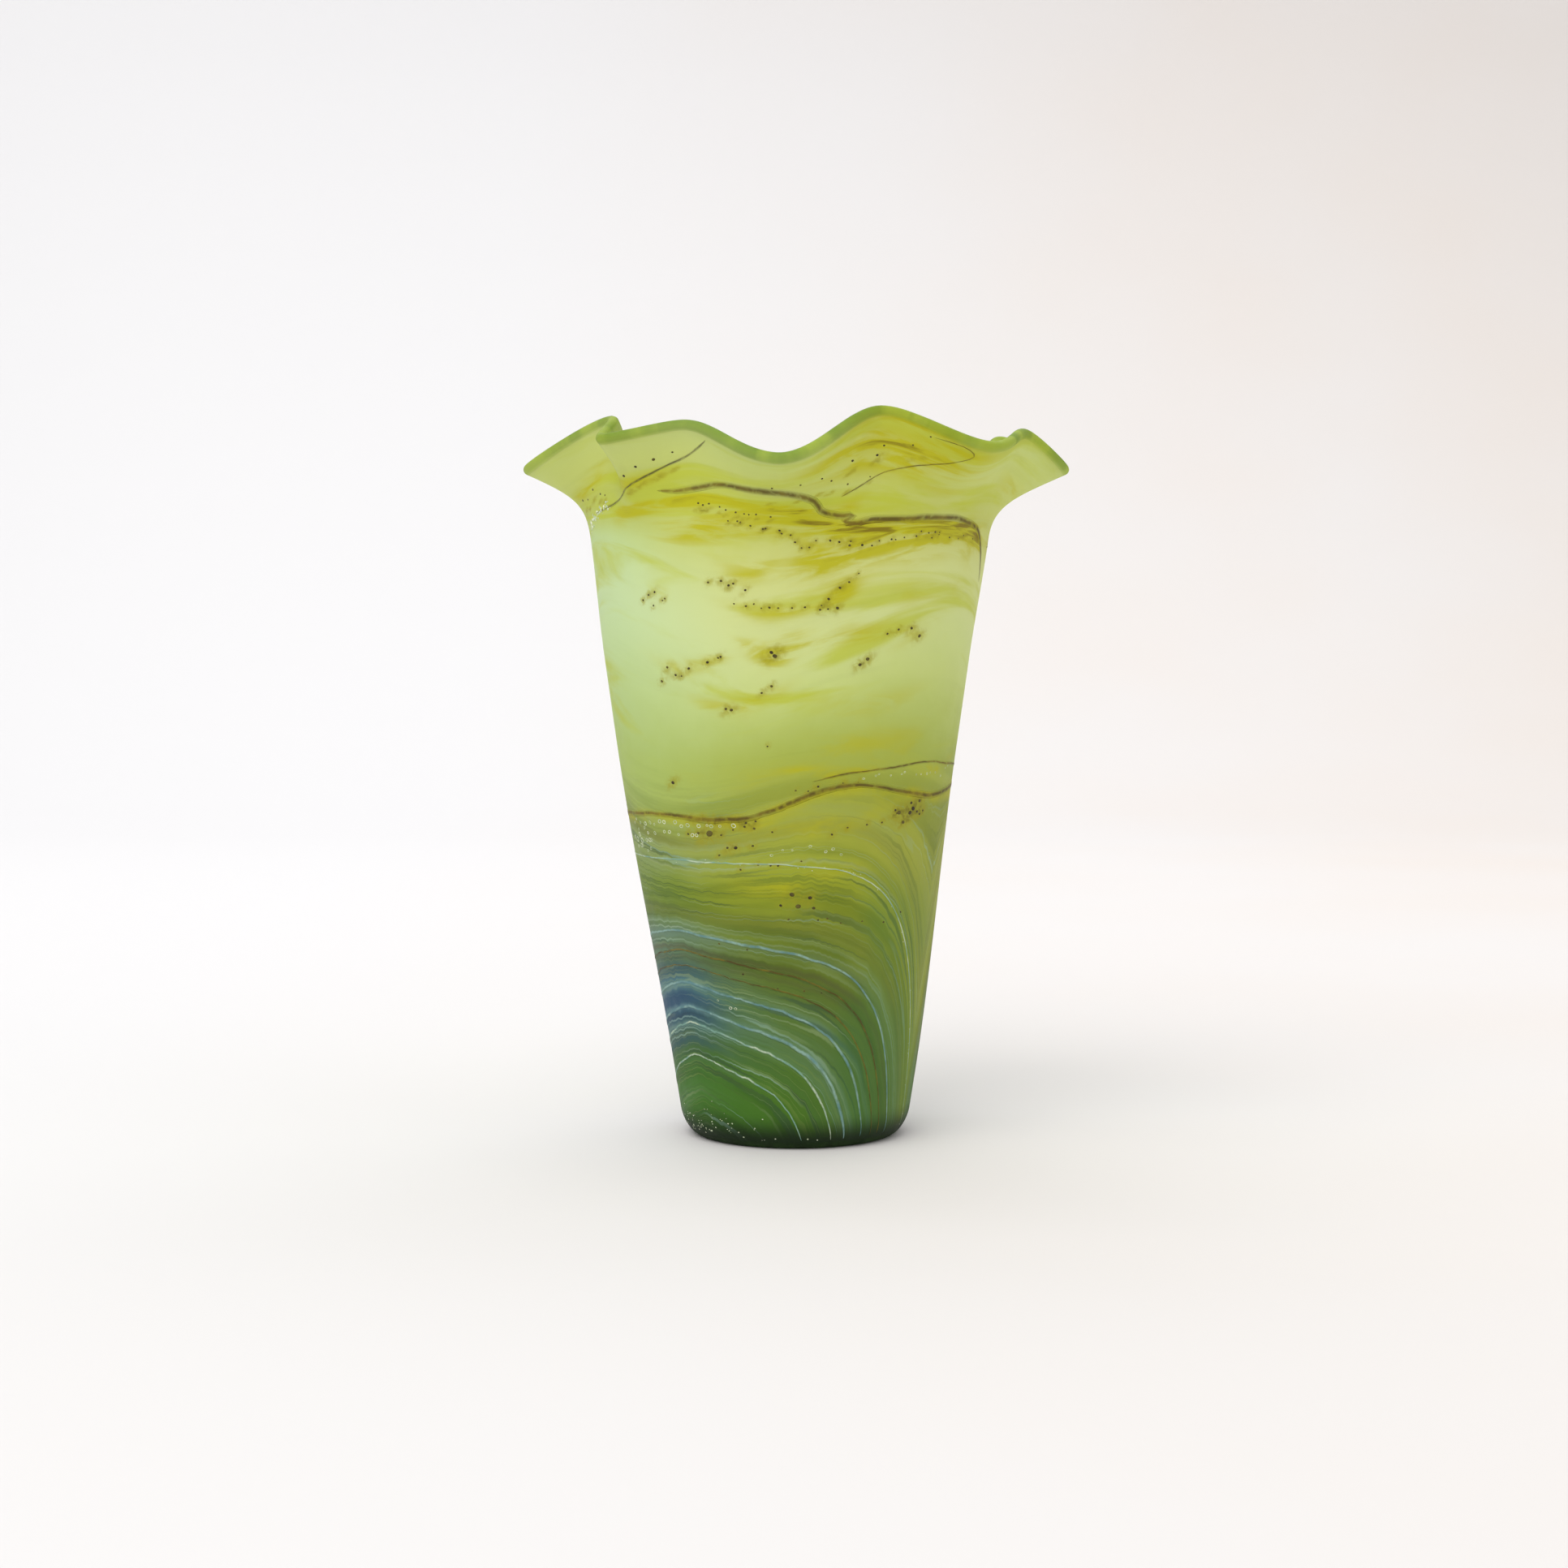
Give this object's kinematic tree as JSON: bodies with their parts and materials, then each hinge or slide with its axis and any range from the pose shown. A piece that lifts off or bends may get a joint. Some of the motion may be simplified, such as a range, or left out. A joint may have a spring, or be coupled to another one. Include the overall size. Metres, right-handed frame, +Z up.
{
  "type": "vase",
  "caption": "Hand blown art glass vase: tapered satin body of cased green glass with marbled threads, flaring into a ruffled open mouth.",
  "frame": {"origin": "on the table, under the middle of the vase's outline, at the flat foot", "axes": "+Z up along the vase, -Y is the front, +X the right side seen from the front"},
  "size_m": [0.187, 0.1747, 0.246],
  "materials": {
    "green_gather": "satin green glass, fire-polished at the lip, darker where it is thick",
    "marbled_casing": "satin, acid-matted glass skin marbled from pale aqua and yellow above to olive, blue and deep green below",
    "white_thread": "opaque white glass thread, satin",
    "blue_thread": "pale blue glass thread, satin, feathered",
    "brown_thread": "brown metal-rich glass thread, satin, with halos of amber",
    "slate_thread": "slate grey glass stringer, satin"
  },
  "bodies": {
    "root": {"inner_gather": "green_gather", "outer_casing": "marbled_casing", "pontil_wafer": "green_gather", "white_arch_inner": "white_thread", "white_arch_low": "white_thread", "white_arch_outer": "white_thread", "blue_arch_low": "blue_thread", "blue_arch_middle": "blue_thread", "pale_blue_arch": "blue_thread", "olive_arch": "brown_thread", "brown_arch": "brown_thread", "brown_belt": "brown_thread", "hairline_belt": "brown_thread", "shoulder_trail": "brown_thread", "right_hairline": "brown_thread", "left_stringer": "slate_thread"}
  },
  "joints": []
}
